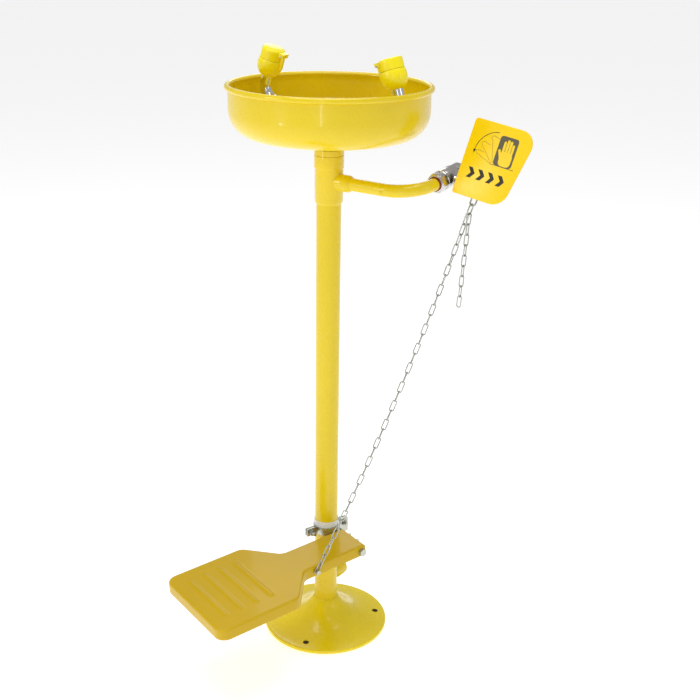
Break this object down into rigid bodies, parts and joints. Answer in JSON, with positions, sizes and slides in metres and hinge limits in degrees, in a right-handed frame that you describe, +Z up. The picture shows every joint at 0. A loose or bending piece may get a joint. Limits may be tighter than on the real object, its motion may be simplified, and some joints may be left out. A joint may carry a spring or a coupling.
{
  "type": "pedestal emergency eyewash station",
  "caption": "Floor-standing eyewash: a bowl with capped spray heads on a pipe stanchion, opened by a hinged push plate or by a foot treadle and chain.",
  "frame": {"origin": "centre of the floor flange's underside, on the floor", "axes": "+Z up the stanchion, -Y towards the user, +X to the side branch and push plate at the user's right"},
  "size_m": [0.4866, 0.5182, 1.074],
  "materials": {
    "yellow_coat": "gloss epoxy powder coat",
    "treadle_coat": "gloss powder coat",
    "cap_plastic": "moulded ABS",
    "plate_yellow": "moulded ABS",
    "chrome": "polished",
    "nickel": "nickel-plated, turned",
    "ball_chrome": "polished",
    "brass": "plain",
    "seat": "PTFE",
    "thread_seal": "cured thread sealant",
    "zinc": "zinc plated",
    "white_rubber": "plain",
    "print_black": "printed label",
    "lever_steel": "black coat",
    "disc": "moulded acetal"
  },
  "bodies": {
    "frame": {"floor_flange": "yellow_coat", "stanchion_pipe": "yellow_coat", "waste_outlet": "yellow_coat", "tee_body": "yellow_coat", "neck_collar": "yellow_coat", "bowl": "yellow_coat", "bowl_locknut": "nickel", "drain_strainer": "nickel", "supply_riser": "brass", "spray_manifold": "nickel", "spray_tube_left": "chrome", "spray_tube_right": "chrome", "head_body_left": "cap_plastic", "head_body_right": "cap_plastic", "spray_disc_left": "disc", "spray_disc_right": "disc", "hinge_pin_left": "zinc", "hinge_pin_right": "zinc", "branch_pipe": "yellow_coat", "pipe_seal": "thread_seal", "valve_end_cap": "nickel", "valve_body": "nickel", "valve_seat_in": "seat", "valve_seat_out": "seat", "stem_packing": "thread_seal", "packing_nut": "lever_steel", "pivot_bolt": "zinc", "pivot_nut": "zinc", "clamp_sleeve": "white_rubber", "clamp_half_arm": "zinc", "clamp_half_back": "zinc", "clamp_bolts": "zinc", "clamp_nuts": "zinc", "pivot_bracket": "zinc"},
    "handle": {"valve_ball": "ball_chrome", "valve_stem": "nickel", "stem_nut": "zinc", "handle_lever": "lever_steel", "push_plate": "plate_yellow", "plate_label": "print_black", "plate_screws": "zinc"},
    "hook": {"hook_ring": "zinc"},
    "chain": {"joint_link": "zinc", "main_chain": "zinc", "tail_chain": "zinc"},
    "treadle": {"treadle": "treadle_coat", "chain_bolt": "zinc", "chain_nut": "zinc"},
    "cap_left": {"cap_left": "cap_plastic"},
    "cap_right": {"cap_right": "cap_plastic"}
  },
  "joints": [
    {"name": "push_plate_turn", "type": "hinge", "parent": "frame", "child": "handle", "pos_m": [0.1702, 0.09887, 0.87354], "axis": [-0.9888, -0.0192, 0.1481], "range_deg": [0, 90]},
    {"name": "hook_swing", "type": "hinge", "parent": "handle", "child": "hook", "pos_m": [0.21796, 0.12173, 0.85645], "axis": [-0.9888, -0.0192, 0.1481], "range_deg": [-90, 0]},
    {"name": "treadle_press", "type": "hinge", "parent": "frame", "child": "treadle", "pos_m": [0.0626, -0.00796, 0.19215], "axis": [0.9511, -0.309, 0], "range_deg": [0, 11.1]},
    {"name": "chain_swing", "type": "hinge", "parent": "treadle", "child": "chain", "pos_m": [0.06744, -0.11508, 0.18699], "axis": [-0.9203, 0.3912, 0], "range_deg": [0, 8.59]},
    {"name": "cap_left_open", "type": "hinge", "parent": "frame", "child": "cap_left", "pos_m": [-0.09657, 0, 1.05536], "axis": [0, 1, 0], "range_deg": [0, 90]},
    {"name": "cap_right_open", "type": "hinge", "parent": "frame", "child": "cap_right", "pos_m": [0.09657, 0, 1.05536], "axis": [0, -1, 0], "range_deg": [0, 90]}
  ],
  "couplings": [
    {"joint": "hook_swing", "follows": "push_plate_turn", "ratio": -1},
    {"joint": "treadle_press", "follows": "push_plate_turn", "ratio": 0.12281},
    {"joint": "chain_swing", "follows": "push_plate_turn", "ratio": 0.0949}
  ]
}
